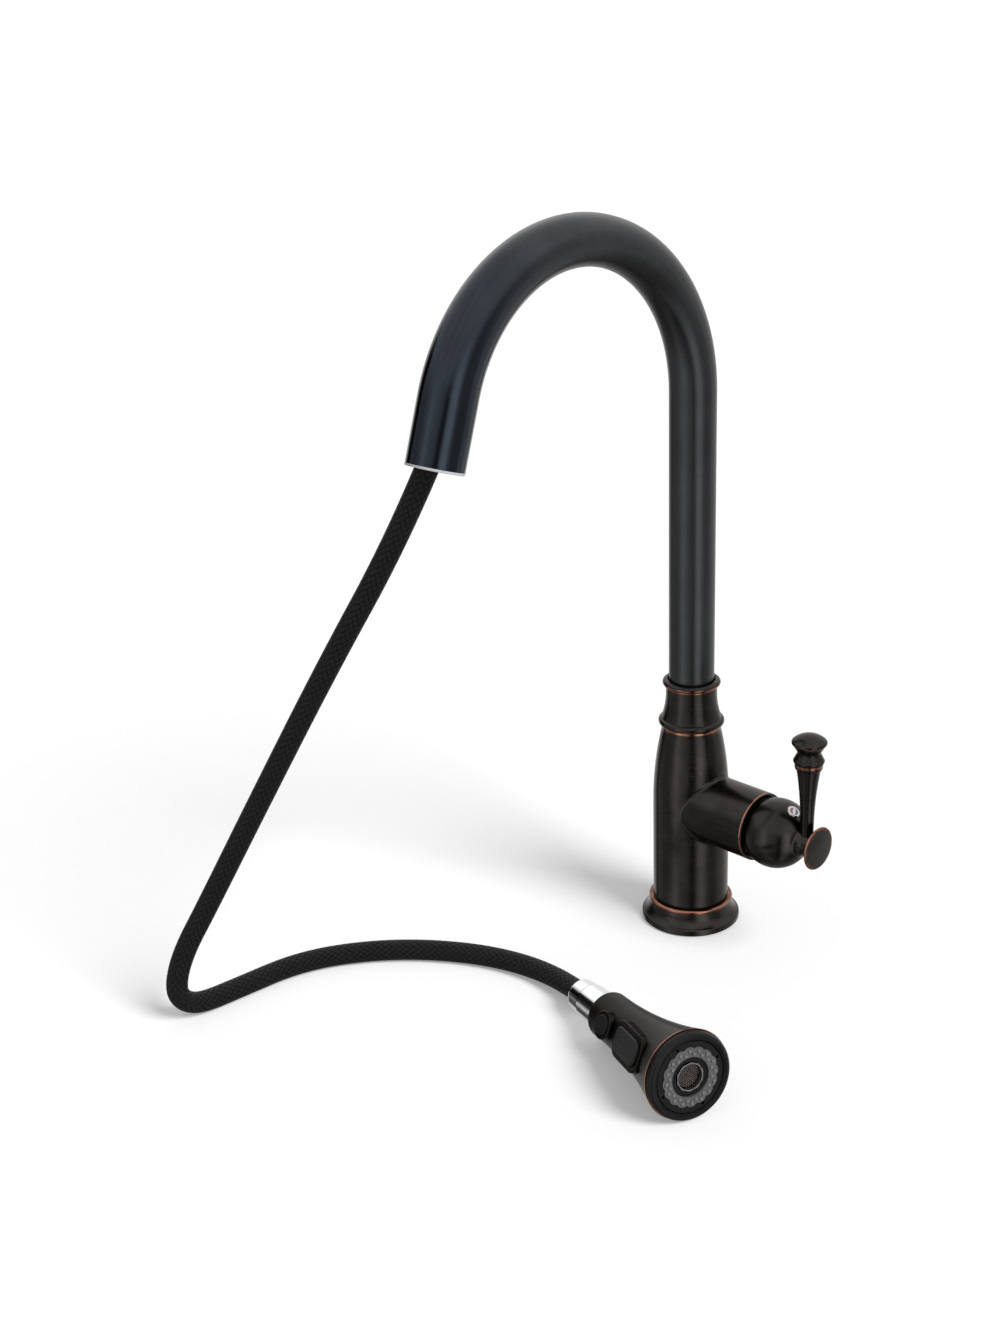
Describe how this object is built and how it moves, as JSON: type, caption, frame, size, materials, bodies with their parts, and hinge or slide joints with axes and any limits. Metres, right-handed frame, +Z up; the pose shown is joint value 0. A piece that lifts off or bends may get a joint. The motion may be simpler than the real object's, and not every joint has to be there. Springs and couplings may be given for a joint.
{
  "type": "pull-down kitchen faucet",
  "caption": "Deck-mounted pull-down kitchen faucet with a swivelling gooseneck spout, a side ball-joint lever and a spray head on a braided hose, drawn out and laid on the deck.",
  "frame": {"origin": "centre of the base underside, where the faucet stands on the deck", "axes": "+Z up along the post, -Y to the spout's outlet, +X along the handle arm"},
  "size_m": [0.2777, 0.3236, 0.4292],
  "materials": {
    "bronze": "satin, dark oil-rubbed bronze with rubbed copper edges",
    "head_bronze": "satin, dark bronze plating over plastic",
    "chrome": "polished",
    "brass": "machined",
    "steel": "brushed",
    "ceramic": "lapped",
    "black_plastic": "fine texture",
    "button_rubber": "soft touch",
    "grey_plastic": "moulded",
    "silicone": "soft silicone",
    "seal_rubber": "moulded",
    "hose_braid": "braided nylon"
  },
  "bodies": {
    "valve_body": {"base_flange": "bronze", "base_gasket": "seal_rubber", "valve_body": "bronze", "thrust_washer": "grey_plastic", "spout_bearings": "grey_plastic", "spout_seal": "seal_rubber", "spout_collar": "bronze", "hose_grommet": "grey_plastic", "cartridge_base": "black_plastic", "cartridge_seals": "seal_rubber", "cartridge_housing": "black_plastic", "fixed_disc": "ceramic", "cartridge_nut": "brass", "ball_bonnet": "bronze"},
    "spout": {"spout_tube": "bronze", "spout_lock_ring": "steel", "outlet_guide": "grey_plastic", "hose_inner": "hose_braid", "spray_hose": "hose_braid", "hose_ferrule": "chrome", "swivel_nipple": "steel"},
    "cartridge_rotor": {"cartridge_rotor": "black_plastic", "stem_pin": "steel"},
    "moving_disc": {"moving_disc": "ceramic", "disc_carrier": "brass"},
    "handle": {"cartridge_stem": "steel", "handle_dome": "bronze", "handle_set_screw": "steel", "index_plug": "chrome", "handle_lever": "bronze", "lever_knob": "bronze", "handle_finial": "bronze"},
    "spray_head": {"docking_nut": "chrome", "head_shell": "head_bronze", "waterway_core": "black_plastic", "nipple_seal": "seal_rubber", "inlet_screen": "steel", "check_valve": "black_plastic", "pause_bezel": "head_bronze", "pause_spring": "steel", "rocker_frame": "head_bronze", "rocker_pin": "steel", "face_bezel": "black_plastic", "face_seal": "seal_rubber", "spray_plate": "black_plastic", "nozzle_ring": "silicone", "aerator_housing": "black_plastic", "aerator_ring": "chrome", "aerator_screen": "steel"},
    "pause_button": {"pause_button": "button_rubber", "pause_plunger": "black_plastic"},
    "mode_rocker": {"mode_rocker": "button_rubber"},
    "diverter": {"diverter_spool": "black_plastic"}
  },
  "joints": [
    {"name": "spout_swivel", "type": "hinge", "parent": "valve_body", "child": "spout", "pos_m": [0, 0, 0.1], "axis": [0, 0, 1], "range_deg": [-90, 90]},
    {"name": "handle_temperature", "type": "hinge", "parent": "valve_body", "child": "cartridge_rotor", "pos_m": [0.0645, 0, 0.077], "axis": [1, 0, 0], "range_deg": [-45, 45]},
    {"name": "handle_flow", "type": "hinge", "parent": "cartridge_rotor", "child": "handle", "pos_m": [0.0645, 0, 0.077], "axis": [0, 1, 0], "range_deg": [0, 20]},
    {"name": "disc_slide", "type": "slide", "parent": "cartridge_rotor", "child": "moving_disc", "axis": [0, 0, 1], "range_m": [0, 0.00384]},
    {"name": "head_swivel", "type": "hinge", "parent": "spout", "child": "spray_head", "pos_m": [0.0569, -0.1335, 0.01406], "axis": [0.9464, -0.2984, 0.1236], "continuous": true},
    {"name": "pause_press", "type": "slide", "parent": "spray_head", "child": "pause_button", "axis": [0.3227, 0.8561, -0.4036], "range_m": [0, 0.0016], "stiffness_N_per_m": 300, "deforming": ["pause_spring"]},
    {"name": "rocker_tilt", "type": "hinge", "parent": "spray_head", "child": "mode_rocker", "pos_m": [0.09929, -0.16207, 0.02668], "axis": [0.0146, 0.4219, 0.9065], "range_deg": [0, 5]},
    {"name": "diverter_slide", "type": "slide", "parent": "spray_head", "child": "diverter", "axis": [-0.9464, 0.2984, -0.1236], "range_m": [0, 0.000698]}
  ],
  "couplings": [
    {"joint": "disc_slide", "follows": "handle_flow", "m_per_rad": 0.011},
    {"joint": "rocker_tilt", "follows": "diverter_slide", "rad_per_m": 125}
  ]
}
